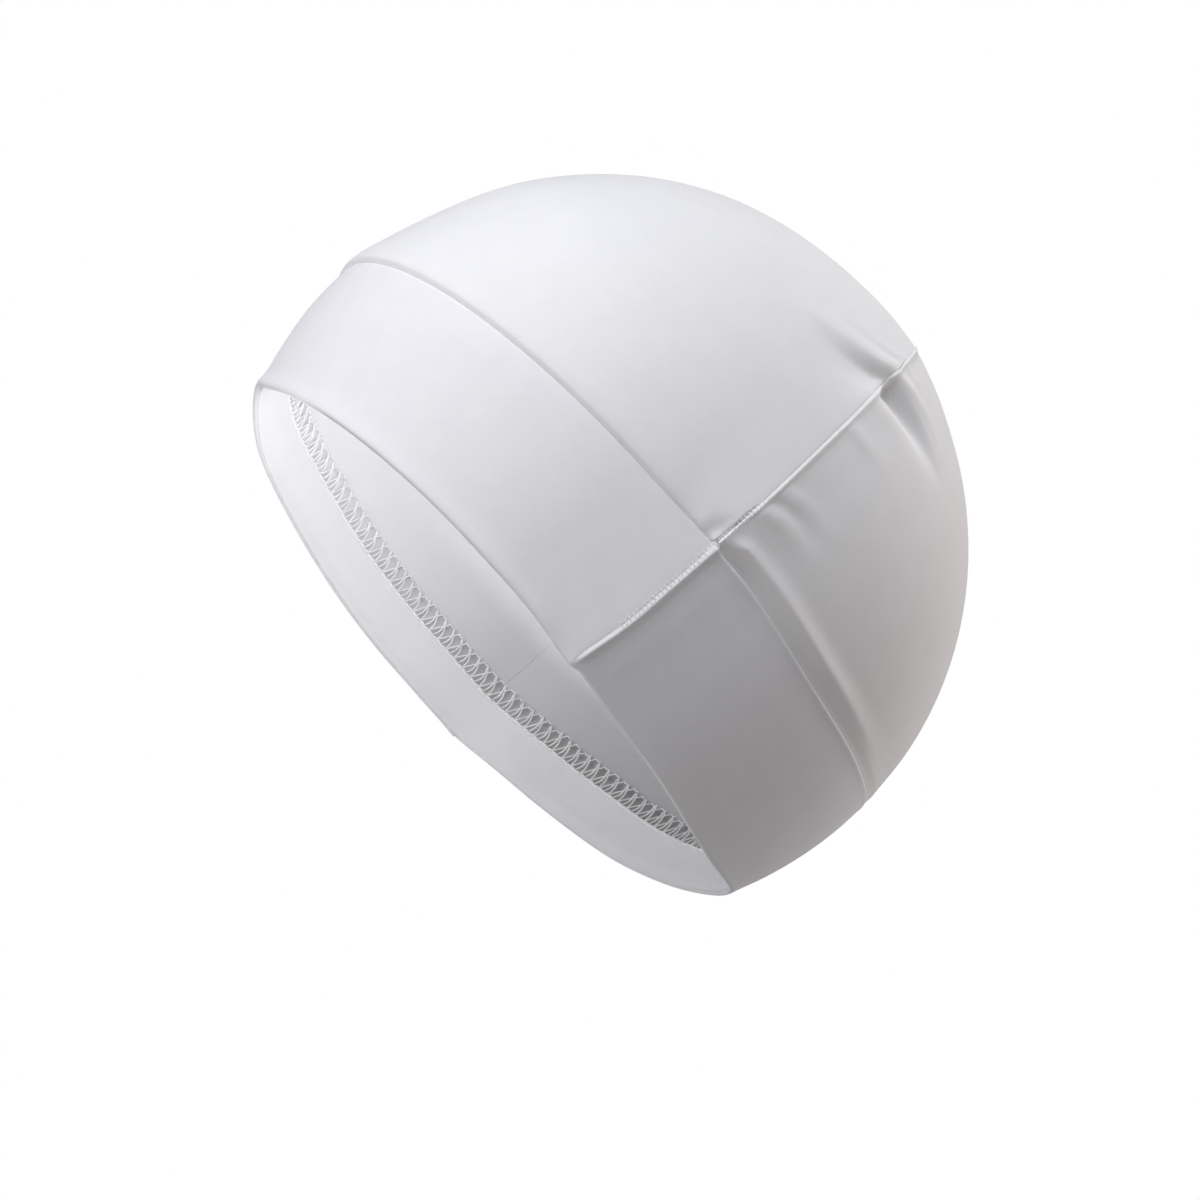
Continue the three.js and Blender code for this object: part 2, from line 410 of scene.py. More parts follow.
def crease_height(from_seam, climb):
    """How far the cloth, flat beside the cross seam, stands off the round head there."""
    flat = np.interp(climb, CREASE["climb"], CREASE["flat"])
    side_curvature = HALF_WIDTH / HALF_LENGTH**2
    return side_curvature / 2 * np.maximum(0, flat - from_seam) ** 2


def gather_height(rows, climb, from_seam, radius):
    """The gathers' height, at a distance from the seam and a climb along it."""
    height = np.zeros(np.broadcast(climb, from_seam).shape)
    for place, drift, bend, length, above, below, rise, held in zip(*rows.values()):
        along = np.clip(from_seam / length, 0, 1)
        middle = place + drift * (1 - np.exp(-from_seam / bend))
        aside = np.radians(climb - middle) * radius
        width = np.where(aside > 0, above, below)
        free = held + (1 - held) * ease(from_seam, 0, SEAM_HOLD_REACH)
        height += rise * free * (1 - along**2) ** 2 * mound(aside, width)
    return height


def lip_height(side, off_seam, size):
    """The rolled lip beside the cross seam."""
    rows = FRONT_OF_CROSS_SEAM if side < 0 else BACK_OF_CROSS_SEAM
    return size * follow(rows, "height", off_seam / size)


def slack(x, y, z):
    """The worn cloth's slow unevenness."""
    arc = np.degrees(np.arctan2(z / RISE, -y / HALF_LENGTH))
    arc = np.where(arc < -90, arc + 360, arc)
    middle = 1 - (x / HALF_WIDTH / girth(np.minimum(z, 0))) ** 2
    return (
        middle * follow(MIDDLE_PROFILE, "out", arc, "arc")
        + LONG_WAVE * np.sin(x / 23 + 0.6 * np.sin(z / 31)) * np.cos(y / 27 + 0.4)
        + SHORT_WAVE * np.sin(y / 13 + z / 17 + 1.3) * np.cos(x / 19 - 0.5)
    )


def inner_form(x, y, z):
    """The form that the inside of the bands follows, with a rounder ridge at the cross seam."""
    off_seam = np.hypot(y - CROSS_SEAM_Y, INNER_CREASE_ROUNDING)
    return crease_height(off_seam, 0) + slack(x, y, z)


# Meshes


def ladder(first, growth, largest, reach):
    """Distances that start fine at a seam and grow to a largest step."""
    marks = [0.0]
    step = first
    while marks[-1] < reach:
        marks.append(marks[-1] + step)
        step = min(largest, step * growth)
    return np.array(marks)


def cloth_wall(name, outer, inner, knit, ring=False):
    """A closed wall between two grids of points, with the knit's own run as its UV map."""
    rows, columns = outer.shape[:2]
    points = np.concatenate([outer.reshape(-1, 3), inner.reshape(-1, 3)])
    points[:, 2] -= ORIGIN_HEIGHT
    index = np.arange(rows * columns).reshape(rows, columns)
    knit = np.concatenate([knit.reshape(-1, 2)] * 2)
    if ring:
        index = np.concatenate([index, index[:, :1]], 1)
    a, b = index[:-1, :-1], index[:-1, 1:]
    c, d = index[1:, 1:], index[1:, :-1]
    inside = rows * columns
    faces = [
        np.stack([a, b, c, d], -1).reshape(-1, 4),
        np.stack([d, c, b, a], -1).reshape(-1, 4) + inside,
    ]
    low, high = index[0], index[-1]
    faces.append(np.stack([low[1:], low[:-1], low[:-1] + inside, low[1:] + inside], -1))
    faces.append(np.stack([high[:-1], high[1:], high[1:] + inside, high[:-1] + inside], -1))
    if not ring:
        start, end = index[:, 0], index[:, -1]
        faces.append(
            np.stack([start[:-1], start[1:], start[1:] + inside, start[:-1] + inside], -1)
        )
        faces.append(np.stack([end[1:], end[:-1], end[:-1] + inside, end[1:] + inside], -1))
    faces = np.concatenate(faces)

    mesh = bpy.data.meshes.new(name)
    mesh.from_pydata((points * MM).tolist(), [], faces.tolist())
    layer = mesh.uv_layers.new(name="knit")
    layer.data.foreach_set("uv", (knit[faces.reshape(-1)] * MM).ravel())
    mesh.polygons.foreach_set("use_smooth", [True] * len(mesh.polygons))
    mesh.validate()
    piece = bpy.data.objects.new(name, mesh)
    bpy.context.scene.collection.objects.link(piece)
    return piece


# Crown panels

# Degrees between a panel's columns, and from the left ear to the first of them.
COLUMN_STEP = 0.45
PANEL_CORNER = 0.7
NEAR_SEAM = ladder(0.13, 1.12, 2.6, 24)
# Where a panel is shorter than this many of its finely divided strips, they are squeezed.
STRIPS_IN_LENGTH = 2.4
FRONT_MIDDLE_ROWS = 30
BACK_MIDDLE_ROWS = 16
# The panel's lower edge is found by halving the angle between these swings, in degrees.
LEAST_SWING = 30
MOST_SWING = 150
HALVINGS = 34
# Turned-in cloth thickens the wall along the panel's edges, with a short slope at its end.
ALLOWANCE_THICKNESS = 0.8
ALLOWANCE_SLOPE = 0.4


def reach(start, direction):
    """How far the plain ellipsoid lies from a point inside it, along directions."""
    scale = np.array([HALF_WIDTH, HALF_LENGTH, RISE])
    start = start / scale
    step = direction / scale
    a = (step * step).sum(-1)
    b = (step * start).sum(-1)
    c = (start * start).sum() - 1
    return (-b + np.sqrt(b * b - a * c)) / a


def crown_panel(name, side):
    """A panel from the cross seam down to the band seam: side is -1 in front and 1 behind."""
    seam_y = CROSS_SEAM_Y + side * PIECE_GAP / 2
    foot_turn = turn_of(HALF_WIDTH * math.sqrt(1 - (seam_y / HALF_LENGTH) ** 2), seam_y)
    foot = np.array([0, seam_y, section(foot_turn, "band_seam") + PIECE_GAP / 2])
    angle = np.arange(PANEL_CORNER, 180 - PANEL_CORNER + 0.001, COLUMN_STEP)
    across, away = np.cos(np.radians(angle)), np.sin(np.radians(angle))

    def place(swing):
        direction = np.stack(
            [
                across + 0 * swing,
                side * away * np.sin(swing),
                away * np.cos(swing),
            ],
            -1,
        )
        distance = reach(foot, direction)
        return foot + direction * distance[..., None], distance

    def over_edge(points):
        turn = turn_of(points[..., 0], points[..., 1])
        return points[..., 2] - section(turn, "band_seam") - PIECE_GAP / 2

    low = np.full(angle.shape, math.radians(LEAST_SWING))
    high = np.full(angle.shape, math.radians(MOST_SWING))
    for _ in range(HALVINGS):
        middle = (low + high) / 2
        above = over_edge(place(middle)[0]) > 0
        low = np.where(above, middle, low)
        high = np.where(above, high, middle)
    swing_end = low

    seam_radius = place(0 * swing_end)[1] * away
    edge_radius = place(swing_end)[1] * away
    length = swing_end * (seam_radius + edge_radius) / 2
    squeeze = np.minimum(1, length / (STRIPS_IN_LENGTH * NEAR_SEAM[-1]))
    from_seam = NEAR_SEAM[:, None] * squeeze / seam_radius
    from_edge = swing_end - NEAR_SEAM[::-1, None] * squeeze / edge_radius
    middle_rows = FRONT_MIDDLE_ROWS if side < 0 else BACK_MIDDLE_ROWS
    share = np.linspace(0, 1, middle_rows + 2)[1:-1, None]
    between = from_seam[-1] + share * (from_edge[0] - from_seam[-1])
    swing = np.concatenate([from_seam, between, from_edge])

    points, distance = place(swing)
    x, y, z = np.moveaxis(points, -1, 0)
    climb = np.minimum(angle, 180 - angle) + 0 * swing
    off_seam = swing * seam_radius
    off_edge = (swing_end - swing) * edge_radius
    along_seam = np.radians(angle) * distance

    gathers = FRONT_GATHERS if side < 0 else BACK_GATHERS
    form = crease_height(off_seam, climb) + slack(x, y, z)
    form += gather_height(gathers, climb, off_seam, distance)
    if side > 0:
        turn = turn_of(x, y)
        strip = follow(BACK_CROWN_EDGE, "height", off_edge)
        swell = (1 - ease(turn, *CREST_FADES)) * ease(off_seam, *CREST_RISES)
        strip = nape_share(turn) * np.minimum(strip, 0) + swell * np.maximum(strip, 0)
        in_form = ease(off_seam, *WALL_OFF_SEAM) * ease(off_edge, *WALL_OFF_EDGE)
        form += strip * in_form
        detail = strip * (1 - in_form)
    else:
        detail = follow(FRONT_CROWN_EDGE, "height", off_edge)
    along_near = np.radians(climb) * distance
    gape = 1 - ease(along_near, GAPE_START, GAPE_LENGTH)
    detail += lip_height(side, off_seam, CROWN_LIP) * ease(along_near, LIP_START, GAPE_LENGTH)
    gape_width = FRONT_GAPE_WIDTH if side < 0 else BACK_GAPE_WIDTH
    detail -= GAPE_DEPTH * gape * mound(off_seam, gape_width)

    turned_in = np.maximum(
        1 - ease(off_seam, SEAM_ALLOWANCE - ALLOWANCE_SLOPE, SEAM_ALLOWANCE),
        1 - ease(off_edge, SEAM_ALLOWANCE - ALLOWANCE_SLOPE, SEAM_ALLOWANCE),
    )
    outer = on_head(x, y, z, form + detail)
    inner = on_head(x, y, z, form - PANEL_THICKNESS - ALLOWANCE_THICKNESS * turned_in)
    knit = np.stack([along_seam, side * swing * seam_radius.max()], -1)
    if side > 0:
        outer, inner, knit = outer[::-1], inner[::-1], knit[::-1]
    return cloth_wall(name, outer, inner, knit)


# Bands and facing

BAND_FROM_SEAM = ladder(0.14, 1.11, 1.1, 24)
BAND_ROWS = ladder(0.15, 1.22, 1.8, 12)
BAND_MIDDLE_ROWS = 22
BAND_HEIGHT = 43.0
FRONT_HALF_GIRTH = 158
BACK_HALF_GIRTH = 124
# How finely the girth is divided away from the seam, in columns for each fine strip.
EVEN_COLUMNS = 20
# The rim, the seam and the turn depend on each other, and settle within these rounds.
SETTLING_ROUNDS = 10
# The radii that make a length along the knit out of a turn.
BAND_KNIT_RADIUS = 88
FACING_KNIT_RADIUS = 86
FACING_STEP = 0.7
# The facing's rows are shares of its height. The lower ones grow as they would on 17 mm.
FACING_ROW_SCALE = 17
FACING_UPPER_ROWS = (0.8, 0.88, 0.93, 0.96, 0.985, 1)


def nape_share(turn):
    """How much of its step the band seam keeps behind the ears."""
    return 1 - NAPE_FILLING * ease(np.minimum(turn, 360 - turn), *NAPE_TURNS)


def band_face(side, off_rim, off_top, off_seam=0):
    """The band's outside. Both halves meet alike at the cross seam's lower end."""
    band_top = FRONT_BAND_TOP if side < 0 else BACK_BAND_TOP
    top_share = ease(off_rim / (off_rim + off_top), *RIM_TO_TOP)
    roll = ease(off_seam, *ROLL_GROWS) * (side < 0)
    low = roll * follow(FRONT_BAND_RIM, "height", off_rim)
    low += (1 - roll) * follow(BACK_BAND_RIM, "height", off_rim)
    low = (1 - top_share) * low
    return low + top_share * follow(band_top, "height", off_top)


def band_half(name, side):
    """Half of the band, from one end of the cross seam to the other."""
    middle_turn = 0 if side < 0 else 180
    half_girth = FRONT_HALF_GIRTH if side < 0 else BACK_HALF_GIRTH
    corner = FRONT_CORNER if side < 0 else BACK_CORNER
    even = int((half_girth - BAND_FROM_SEAM[-1]) / BAND_FROM_SEAM[-1] * EVEN_COLUMNS)
    share = np.linspace(0, 1, even + 2)[1:-1]
    edge = 1 - BAND_FROM_SEAM / half_girth
    share = np.concatenate([edge, edge[-1] * (1 - share)])
    share = np.concatenate([-share, [0], share[::-1]])

    middle_rows = np.linspace(BAND_ROWS[-1], BAND_HEIGHT - BAND_ROWS[-1], BAND_MIDDLE_ROWS + 2)[1:-1]
    rise = np.concatenate(
        [
            BAND_ROWS / BAND_HEIGHT,
            middle_rows / BAND_HEIGHT,
            1 - BAND_ROWS[::-1] / BAND_HEIGHT,
        ]
    )[:, None]
    turn = np.zeros((len(rise), len(share)))
    z = np.zeros_like(turn)
    off_seam = (1 - np.abs(share)) * half_girth + 0 * z
    off_rim = z
    for _ in range(SETTLING_ROUNDS):
        seam_y = cross_seam_y(turn, off_rim) + side * PIECE_GAP / 2
        end_turn = np.degrees(np.arccos(-seam_y / (HALF_LENGTH * girth(z))))
        turn = middle_turn + share * np.abs(end_turn - middle_turn)
        rim = rim_height(turn)
        rim -= CORNER_DROP * (turn < 180) * (turn > 0) * (1 - ease(off_seam, 0, corner)) ** 2
        seam = section(turn, "band_seam") - PIECE_GAP / 2
        z = rim + rise * (seam - rim)
        off_rim = z - rim
    x, y = around_head(turn, z)

    body = band_face(side, off_rim, seam - z, off_seam)
    if side > 0:
        body = body * nape_share(turn)
    rounding = FAR_CREASE_ROUNDING * (turn > 180) * (1 - ease(off_rim, *FAR_CREASE_HEIGHTS))
    form = crease_height(np.hypot(off_seam, rounding), 0) + slack(x, y, z)
    lip = lip_height(side, off_seam, BAND_LIP) * ease(off_rim, 0, LIP_OFF_RIM)
    outer = on_head(x, y, z, form + body + lip)
    above_facing = off_rim - section(turn, "facing")
    strip = ease(above_facing, *GAP_OPENS)
    strip -= ease(above_facing, *GAP_CLOSES)
    from_forehead = np.abs(np.where(turn > 180, 360 - turn, turn))
    depth = LADDER_DEPTH * (LADDER_LEAST + (1 - LADDER_LEAST) * ease(from_forehead, *LADDER_DEEPENS))
    lining = follow(BAND_LINING, "height", off_rim) + depth * strip
    form += crease_height(np.hypot(off_seam, INNER_CREASE_ROUNDING), 0)
    form -= crease_height(np.hypot(off_seam, rounding), 0)
    inner = on_head(x, y, z, form + lining)
    knit = np.stack([np.radians(turn) * BAND_KNIT_RADIUS, z], -1)
    piece = cloth_wall(name, outer, inner, knit)
    # Painted shade on the band's inside, behind the ladder stitches and on the cloth above the
    # facing, growing away from the forehead. The material mixes it into the knit's colour.
    gap_shade = strip * ease(from_forehead, *GAP_SHADE_GROWS)
    cloth_shade = CLOTH_SHADE * ease(above_facing, *CLOTH_SHADE_STARTS)
    cloth_shade *= ease(from_forehead, *CLOTH_SHADE_GROWS)
    cloth_shade *= ease(seam - z, 0, SHADE_FADE)
    shade = np.concatenate([0 * strip.ravel(), np.maximum(gap_shade, cloth_shade).ravel()])
    piece.data.attributes.new("painted_shade", "FLOAT", "POINT").data.foreach_set("value", shade)
    return piece


def facing_ring(name):
    """The facing, one ring round the whole rim, thin at the rim and rounded at its upper edge."""
    turn = np.arange(-180, 180, FACING_STEP)[None, :]
    lower_rows = ladder(0.1, 1.3, 1.2, 12) / FACING_ROW_SCALE
    rows = np.concatenate([lower_rows, FACING_UPPER_ROWS])
    rise = rows[:, None] * section(turn, "facing")
    z = rim_height(turn) + FACING_OFF_RIM + rise
    x, y = around_head(turn, z)
    form = inner_form(x, y, z)
    below_top = section(turn, "facing") - rise
    lining = form + follow(BAND_LINING, "height", rise + FACING_OFF_RIM) - PIECE_GAP
    full = ease(rise, 0, FACING_THINNING)
    thickness = FACING_THICKNESS * (FACING_THINNEST + (1 - FACING_THINNEST) * full)
    rounding = FACING_EDGE_ROUNDING * mound(below_top, FACING_EDGE_ROUNDING)
    outer = on_head(x, y, z, lining - rounding)
    inner = on_head(x, y, z, lining - thickness + rounding)
    knit = np.stack([np.radians(turn) * FACING_KNIT_RADIUS + 0 * z, z], -1)
    return cloth_wall(name, outer, inner, knit, ring=True)


# Threads

THREAD_SIDES = 4
# A direction that no thread runs along, to turn its round section from.
CROSSWISE = (0.3, 0.2, 1.0)
END_TAPER = 0.5


def strand(points, radius):
    """A round thread through points, as vertices and faces."""
    points = np.array(points, float)
    tangent = np.gradient(points, axis=0)
    tangent /= np.linalg.norm(tangent, axis=1, keepdims=True)
    aside = np.cross(tangent, CROSSWISE)
    aside /= np.linalg.norm(aside, axis=1, keepdims=True)
    over = np.cross(tangent, aside)
    turn = np.arange(THREAD_SIDES)[None, :, None] * 2 * np.pi / THREAD_SIDES
    radius = np.full(len(points), radius)
    radius[[0, -1]] *= END_TAPER
    circle = np.cos(turn) * aside[:, None] + np.sin(turn) * over[:, None]
    vertices = (points[:, None] + radius[:, None, None] * circle).reshape(-1, 3)
    faces = [tuple(range(THREAD_SIDES))[::-1]]
    for i in range(len(points) - 1):
        for j in range(THREAD_SIDES):
            k = (j + 1) % THREAD_SIDES
            low, high = i * THREAD_SIDES, (i + 1) * THREAD_SIDES
            faces.append((low + j, low + k, high + k, high + j))
    last = (len(points) - 1) * THREAD_SIDES
    faces.append(tuple(last + j for j in range(THREAD_SIDES)))
    return vertices, faces


def rounded(points, steps=2):
    """More points along a smooth curve through a few."""
    points = np.array(points, float)
    place = np.arange(len(points))
    fine = np.linspace(0, len(points) - 1, (len(points) - 1) * steps + 1)
    rows = {"at": place, **{str(axis): points[:, axis] for axis in range(3)}}
    return np.stack([follow(rows, str(axis), fine, "at") for axis in range(3)], -1)


def stitch_unit(name, strands):
    """One repeat of a stitch: x along the seam, y up from it, z off the cloth."""
    vertices, faces = [], []
    for radius, points in strands:
        more_vertices, more_faces = strand(rounded(points), radius)
        faces += [tuple(len(vertices) + i for i in face) for face in more_faces]
        vertices += (more_vertices * MM).tolist()
    mesh = bpy.data.meshes.new(name)
    mesh.from_pydata(vertices, [], faces)
    mesh.polygons.foreach_set("use_smooth", [True] * len(mesh.polygons))
    return bpy.data.objects.new(name, mesh)


def stitch_path(name, paths):
    """Lines on the cloth with the direction off it at each point."""
    vertices, edges, off_cloth = [], [], []
    for points, out, closed in paths:
        first = len(vertices)
        points = points - (0, 0, ORIGIN_HEIGHT)
        vertices += (points * MM).tolist()
        off_cloth += out.tolist()
        edges += [(first + i, first + i + 1) for i in range(len(points) - 1)]
        if closed:
            edges.append((len(vertices) - 1, first))
    mesh = bpy.data.meshes.new(name)
    mesh.from_pydata(vertices, edges, [])
    mesh.attributes.new("off_cloth", "FLOAT_VECTOR", "POINT")
    mesh.attributes["off_cloth"].data.foreach_set("vector", np.ravel(off_cloth))
    path = bpy.data.objects.new(name, mesh)
    bpy.context.scene.collection.objects.link(path)
    return path


# Materials


def linear(hex_colour):
    """An sRGB hex colour as linear values."""
    channels = [int(hex_colour[i : i + 2], 16) / 255 for i in (1, 3, 5)]
    return [c / 12.92 if c <= 0.04045 else ((c + 0.055) / 1.055) ** 2.4 for c in channels] + [1]


def add_node(tree, kind, settings=None, values=None, links=None):
    """Adds a node with its settings, socket values and incoming links."""
    node = tree.nodes.new(kind)
    for name, value in (settings or {}).items():
        setattr(node, name, value)
    for name, value in (values or {}).items():
        node.inputs[name].default_value = value
    for name, socket in (links or {}).items():
        tree.links.new(socket, node.inputs[name])
    return node


# Polyamide and elastane knit, brushed soft on the face. To the eye it is an even white without
# gloss: light spreads in it, shades run slowly over the folds, and the fibre ends lift the tone a
# little where the cloth turns away. Its wales show only from close up.
# The real wales stand about 0.35 mm apart and the courses 0.45 mm. Both are drawn coarser, so that
# they show at all. The real fibre ends are finer than 0.1 mm and are drawn coarser too. The tone
# drifts over about 9 mm, as in a brushed face.
WALE = 0.55
COURSE = 0.7
KNIT_RELIEF = 0.012
MOTTLE = 9.0
FUZZ = 0.25


def knit_material(name, colour, mottled):
    """Fine stretch knit, brushed soft: matt, with wales that only show close up."""
    material = bpy.data.materials.new(name)
    material.use_nodes = True
    tree = material.node_tree
    shader = tree.nodes["Principled BSDF"]
    shader.inputs["Roughness"].default_value = 0.82
    shader.inputs["IOR"].default_value = 1.5
    shader.inputs["Sheen Weight"].default_value = 0.15
    shader.inputs["Sheen Roughness"].default_value = 0.5

    place = add_node(tree, "ShaderNodeTexCoord")
    mottle = add_node(
        tree,
        "ShaderNodeTexNoise",
        values={"Scale": 1 / (MOTTLE * MM), "Detail": 3.0, "Roughness": 0.6},
        links={"Vector": place.outputs["Object"]},
    )
    tone = add_node(
        tree,
        "ShaderNodeMix",
        settings={"data_type": "RGBA"},
        values={"A": linear(colour), "B": linear(mottled)},
        links={"Factor": mottle.outputs["Fac"]},
    )
    # Painted shade: the band's shade attribute mixes the base colour towards a grey.
    gap = add_node(tree, "ShaderNodeAttribute", settings={"attribute_name": "painted_shade"})
    shaded = add_node(
        tree,
        "ShaderNodeMix",
        settings={"data_type": "RGBA"},
        values={"B": linear(PAINTED_SHADE_TONE)},
        links={"Factor": gap.outputs["Fac"], "A": tone.outputs["Result"]},
    )
    tree.links.new(shaded.outputs["Result"], shader.inputs["Base Color"])

    run = add_node(tree, "ShaderNodeUVMap", settings={"uv_map": "knit"})
    axes = add_node(tree, "ShaderNodeSeparateXYZ", links={0: run.outputs["UV"]})
    course = add_node(
        tree,
        "ShaderNodeMath",
        settings={"operation": "MULTIPLY"},
        values={1: math.tau / (COURSE * MM)},
        links={0: axes.outputs["Y"]},
    )
    loop = add_node(
        tree, "ShaderNodeMath", settings={"operation": "SINE"}, links={0: course.outputs[0]}
    )
    wale = add_node(
        tree,
        "ShaderNodeMath",
        settings={"operation": "MULTIPLY_ADD"},
        values={1: math.tau / (WALE * MM)},
        links={0: axes.outputs["X"], 2: loop.outputs[0]},
    )
    ribs = add_node(
        tree, "ShaderNodeMath", settings={"operation": "COSINE"}, links={0: wale.outputs[0]}
    )
    fuzz = add_node(
        tree,
        "ShaderNodeTexNoise",
        values={"Scale": 1 / (FUZZ * MM), "Detail": 2.0},
        links={"Vector": place.outputs["Object"]},
    )
    relief = add_node(
        tree,
        "ShaderNodeMath",
        settings={"operation": "MULTIPLY_ADD"},
        values={1: 1.5},
        links={0: fuzz.outputs["Fac"], 2: ribs.outputs[0]},
    )
    raised = add_node(
        tree,
        "ShaderNodeBump",
        values={"Strength": 0.5, "Distance": KNIT_RELIEF * MM},
        links={"Height": relief.outputs[0]},
    )
    tree.links.new(raised.outputs["Normal"], shader.inputs["Normal"])
    return material


# Painted shade: the grey that the band's inside is mixed towards, behind the ladder stitches and on
# the cloth above the facing.
PAINTED_SHADE_TONE = "#ADADAF"
CROWN_KNIT = knit_material("polyamide_elastane_knit_crown", "#F0F0F2", "#E9E9EB")
BAND_KNIT = knit_material("polyamide_elastane_knit_band", "#EEEEF1", "#E6E6EA")
# Textured polyester thread, bulky and crimped. To the eye it is a soft white cord, a little whiter
# than the knit and with a faint bloom instead of a gloss. The strands of the looper lie as one.
THREAD = bpy.data.materials.new("textured_polyester_sewing_thread")
THREAD.use_nodes = True
thread_shader = THREAD.node_tree.nodes["Principled BSDF"]
thread_shader.inputs["Base Color"].default_value = linear("#FAFAFA")
thread_shader.inputs["Roughness"].default_value = 0.6
thread_shader.inputs["Sheen Weight"].default_value = 0.2

# Stitching


def stitching_nodes():
    """Nodes that repeat one stitch along lines on the cloth, and the names of their inputs."""
    group = bpy.data.node_groups.new("stitching", "GeometryNodeTree")
    inputs = {}
    for name, kind in (
        ("Lines", "NodeSocketGeometry"),
        ("Unit", "NodeSocketObject"),
        ("Pitch", "NodeSocketFloat"),
        ("Unevenness", "NodeSocketFloat"),
        ("Seed", "NodeSocketInt"),
        ("Thread", "NodeSocketMaterial"),
    ):
        socket = group.interface.new_socket(name, in_out="INPUT", socket_type=kind)
        inputs[name] = socket.identifier
    group.interface.new_socket("Stitches", in_out="OUTPUT", socket_type="NodeSocketGeometry")
    given = add_node(group, "NodeGroupInput").outputs
    curves = add_node(group, "GeometryNodeMeshToCurve", links={"Mesh": given["Lines"]})
    places = add_node(
        group,
        "GeometryNodeResampleCurve",
        settings={"mode": "LENGTH"},
        links={"Curve": curves.outputs["Curve"], "Length": given["Pitch"]},
    )
    tangent = add_node(group, "GeometryNodeInputTangent")
    off_cloth = add_node(
        group,
        "GeometryNodeInputNamedAttribute",
        settings={"data_type": "FLOAT_VECTOR"},
        values={"Name": "off_cloth"},
    )
    rotation = add_node(
        group,
        "FunctionNodeAxesToRotation",
        settings={"primary_axis": "X", "secondary_axis": "Z"},
        links={
            "Primary Axis": tangent.outputs["Tangent"],
            "Secondary Axis": off_cloth.outputs["Attribute"],
        },
    )
    least = add_node(
        group,
        "ShaderNodeMath",
        settings={"operation": "SUBTRACT"},
        values={0: 1.0},
        links={1: given["Unevenness"]},
    )
    most = add_node(
        group,
        "ShaderNodeMath",
        settings={"operation": "ADD"},
        values={0: 1.0},
        links={1: given["Unevenness"]},
    )
    spread = add_node(
        group,
        "FunctionNodeRandomValue",
        settings={"data_type": "FLOAT_VECTOR"},
        links={"Min": least.outputs[0], "Max": most.outputs[0], "Seed": given["Seed"]},
    )
    unit = add_node(group, "GeometryNodeObjectInfo", links={"Object": given["Unit"]})
    repeats = add_node(
        group,
        "GeometryNodeInstanceOnPoints",
        links={
            "Points": places.outputs["Curve"],
            "Instance": unit.outputs["Geometry"],
            "Rotation": rotation.outputs["Rotation"],
            "Scale": spread.outputs["Value"],
        },
    )
    real = add_node(
        group, "GeometryNodeRealizeInstances", links={"Geometry": repeats.outputs["Instances"]}
    )
    threads = add_node(
        group,
        "GeometryNodeSetMaterial",
        links={"Geometry": real.outputs["Geometry"], "Material": given["Thread"]},
    )
    add_node(group, "NodeGroupOutput", links={"Stitches": threads.outputs["Geometry"]})
    return group, inputs


STITCHING, STITCHING_INPUTS = stitching_nodes()


def stitches(name, lines, unit, pitch, unevenness, seed):
    """Repeats a stitch along lines, as one plain mesh."""
    modifier = lines.modifiers.new(name, "NODES")
    modifier.node_group = STITCHING
    for key, value in (
        ("Unit", unit),
        ("Pitch", pitch * MM),
        ("Unevenness", unevenness),
        ("Seed", seed),
        ("Thread", THREAD),
    ):
        modifier[STITCHING_INPUTS[key]] = value
    graph = bpy.context.evaluated_depsgraph_get()
    mesh = bpy.data.meshes.new_from_object(lines.evaluated_get(graph), depsgraph=graph)
    bpy.data.objects.remove(lines)
    bpy.data.objects.remove(unit)
    piece = bpy.data.objects.new(name, mesh)
    bpy.context.scene.collection.objects.link(piece)
    return piece


def facing_edge():
    """The line along the facing's top edge, clockwise as seen from above."""
    turn = np.arange(180, -180, -FACING_STEP)
    z = rim_height(turn) + FACING_OFF_RIM + section(turn, "facing")
    x, y = around_head(turn, z)
    face = inner_form(x, y, z) + BAND_LINING["height"][-1] - FACING_THICKNESS
    return on_head(x, y, z, face), -out_of_head(x, y, z), True


def open_seam(side):
    """The cross seam's line beside one ear. The front panels are on the same hand beside both."""
    foot = section(turn_of(HALF_WIDTH, CROSS_SEAM_Y), "band_seam")
    rim = section(turn_of(HALF_WIDTH, CROSS_SEAM_Y), "rim")
    z = np.arange(rim + OPEN_SEAM_FROM_RIM, foot + GAPE_LENGTH, OPEN_SEAM_STEP)
    y = cross_seam_y(90 * side, z - rim)
    x = side * HALF_WIDTH * np.sqrt(girth(z) ** 2 - (y / HALF_LENGTH) ** 2)
    climb = np.degrees(np.arctan2(np.maximum(z - foot, 0), HALF_WIDTH))
    on_crown = ease(z - foot, *OPEN_SEAM_CROSSING)
    face = band_face(-1, z - rim, np.maximum(foot - z, 0))
    height = crease_height(0, climb) + slack(x, y, z) + (1 - on_crown) * face
    points, out = on_head(x, y, z, height), out_of_head(x, y, z)
    return points[::side], out[::side], False


# Stitches: how far apart they stand, their strands' radii, how much their sizes vary, and the seed
# of that variation. LADDER_FAR is the height of the ladder's far end off the facing's face.
LADDER_PITCH = 3.5
LADDER_STRAND = 0.24
LADDER_FAR = -0.62
LADDER_UNEVENNESS = 0.06
LADDER_SEED = 3
LOOPER_STRAND = 0.48
SEAM_STITCH_PITCH = 1.25
SEAM_STITCH_STRAND = 0.12
SEAM_STITCH_UNEVENNESS = 0.15
SEAM_STITCH_SEED = 5

# The stitches beside the ears start this far above the rim. Their line leaves the band for the
# crown between two heights about the band seam.
OPEN_SEAM_FROM_RIM = 14.0
OPEN_SEAM_STEP = 0.5
OPEN_SEAM_CROSSING = (-0.5, 2.5)

